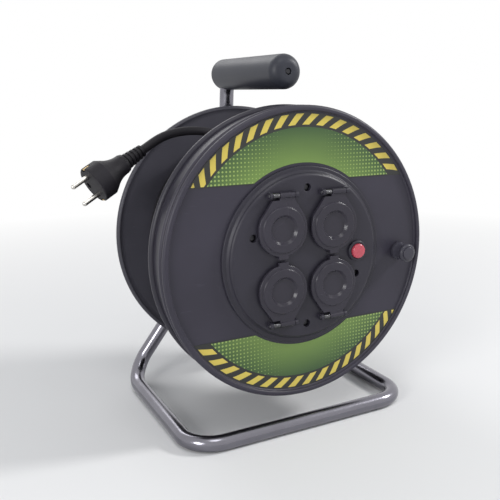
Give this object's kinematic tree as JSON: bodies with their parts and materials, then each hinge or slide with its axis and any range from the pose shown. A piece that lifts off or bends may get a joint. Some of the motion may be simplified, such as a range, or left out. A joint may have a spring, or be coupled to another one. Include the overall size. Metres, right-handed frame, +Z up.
{
  "type": "extension cord reel",
  "caption": "Cable reel: a drum of rubber cord with lidded mains sockets and a reset button, on a bent tube stand with a carrying grip.",
  "frame": {"origin": "on the floor, under the middle of the reel's footprint", "axes": "+Z up, the drum's axis along Y with the sockets facing -Y, +X to the right seen from the sockets"},
  "size_m": [0.3444, 0.2198, 0.373],
  "materials": {
    "black_plastic": "fine moulded texture",
    "grey_black_plastic": "smooth satin moulding",
    "socket_black": "smooth moulding",
    "lid_black": "satin moulding",
    "grip_plastic": "smooth satin",
    "bright_tube": "bright zinc plating",
    "steel": "zinc plated",
    "brass_contact": "bare",
    "nickel_pin": "nickel plated",
    "cable_rubber": "matte rubber",
    "seal_rubber": "soft matte",
    "red_button": "glossy",
    "green_shutter": "moulded",
    "bush_nylon": "natural nylon",
    "plug_rubber": "moulded rubber",
    "cutout_plastic": "moulded",
    "knob_plastic": "smooth"
  },
  "bodies": {
    "stand": {"axle": "steel", "axle_clip": "steel", "axle_washers": "steel", "axle_nut": "steel", "hub_clamp_front": "black_plastic", "hub_clamp_rear": "black_plastic", "hub_screws": "steel", "hub_cap": "black_plastic", "stand_tube": "bright_tube", "upright_tube": "bright_tube", "handle_grip": "grip_plastic", "grip_tube_plug": "cutout_plastic", "grip_screw": "steel", "cable_tail": "cable_rubber", "plug_body": "plug_rubber", "plug_insert": "plug_rubber", "plug_pins": "nickel_pin", "plug_earth_clips": "brass_contact", "plug_bend_relief": "plug_rubber"},
    "drum": {"front_cover": "grey_black_plastic", "front_flange": "black_plastic", "rear_flange": "black_plastic", "drum_core": "black_plastic", "cable_gland": "seal_rubber", "flange_cover_screws": "steel", "rear_flange_screws": "steel", "bearing_sleeve": "steel", "axle_bushes": "bush_nylon", "socket_panel": "black_plastic", "panel_screws": "steel", "socket_insert_1": "socket_black", "socket_insert_2": "socket_black", "socket_insert_3": "socket_black", "socket_insert_4": "socket_black", "socket_bases": "socket_black", "socket_contacts": "brass_contact", "socket_earth_pins": "nickel_pin", "lid_hinge_pins": "steel", "lid_springs": "steel", "button_bezel": "black_plastic", "thermal_cutout": "cutout_plastic", "knob_spindle": "steel", "knob_nut": "steel", "cable_winding_core": "cable_rubber", "cable_winding": "cable_rubber"},
    "lid_1": {"socket_lid_1": "lid_black", "lid_seal_1": "seal_rubber"},
    "shutter_1": {"socket_shutter_1": "green_shutter"},
    "lid_2": {"socket_lid_2": "lid_black", "lid_seal_2": "seal_rubber"},
    "shutter_2": {"socket_shutter_2": "green_shutter"},
    "lid_3": {"socket_lid_3": "lid_black", "lid_seal_3": "seal_rubber"},
    "shutter_3": {"socket_shutter_3": "green_shutter"},
    "lid_4": {"socket_lid_4": "lid_black", "lid_seal_4": "seal_rubber"},
    "shutter_4": {"socket_shutter_4": "green_shutter"},
    "reset": {"reset_button": "red_button"},
    "knob": {"winding_knob": "knob_plastic", "knob_cap": "knob_plastic"}
  },
  "joints": [
    {"name": "drum_spin", "type": "hinge", "parent": "stand", "child": "drum", "pos_m": [0, 0.06425, 0.18], "axis": [0, 1, 0], "continuous": true},
    {"name": "lid_1_hinge", "type": "hinge", "parent": "drum", "child": "lid_1", "pos_m": [-0.0285, -0.10215, 0.243], "axis": [-1, 0, 0], "range_deg": [0, 110], "stiffness_Nm_per_rad": 0.02, "springref_deg": -28.65},
    {"name": "shutter_1_turn", "type": "hinge", "parent": "drum", "child": "shutter_1", "pos_m": [-0.0285, -0.08085, 0.21], "axis": [0, 1, 0], "range_deg": [0, 40], "stiffness_Nm_per_rad": 0.0005, "springref_deg": -17.19},
    {"name": "lid_2_hinge", "type": "hinge", "parent": "drum", "child": "lid_2", "pos_m": [0.0285, -0.10215, 0.243], "axis": [-1, 0, 0], "range_deg": [0, 110], "stiffness_Nm_per_rad": 0.02, "springref_deg": -28.65},
    {"name": "shutter_2_turn", "type": "hinge", "parent": "drum", "child": "shutter_2", "pos_m": [0.0285, -0.08085, 0.21], "axis": [0, 1, 0], "range_deg": [0, 40], "stiffness_Nm_per_rad": 0.0005, "springref_deg": -17.19},
    {"name": "lid_3_hinge", "type": "hinge", "parent": "drum", "child": "lid_3", "pos_m": [0.0285, -0.10215, 0.117], "axis": [1, 0, 0], "range_deg": [0, 110], "stiffness_Nm_per_rad": 0.02, "springref_deg": -28.65},
    {"name": "shutter_3_turn", "type": "hinge", "parent": "drum", "child": "shutter_3", "pos_m": [0.0285, -0.08085, 0.15], "axis": [0, 1, 0], "range_deg": [0, 40], "stiffness_Nm_per_rad": 0.0005, "springref_deg": -17.19},
    {"name": "lid_4_hinge", "type": "hinge", "parent": "drum", "child": "lid_4", "pos_m": [-0.0285, -0.10215, 0.117], "axis": [1, 0, 0], "range_deg": [0, 110], "stiffness_Nm_per_rad": 0.02, "springref_deg": -28.65},
    {"name": "shutter_4_turn", "type": "hinge", "parent": "drum", "child": "shutter_4", "pos_m": [-0.0285, -0.08085, 0.15], "axis": [0, 1, 0], "range_deg": [0, 40], "stiffness_Nm_per_rad": 0.0005, "springref_deg": -17.19},
    {"name": "reset_press", "type": "slide", "parent": "drum", "child": "reset", "axis": [0, 1, 0], "range_m": [0, 0.0025], "stiffness_N_per_m": 600, "springref_m": -0.003},
    {"name": "knob_spin", "type": "hinge", "parent": "drum", "child": "knob", "pos_m": [0.117, -0.09015, 0.172], "axis": [0, 1, 0], "continuous": true}
  ]
}
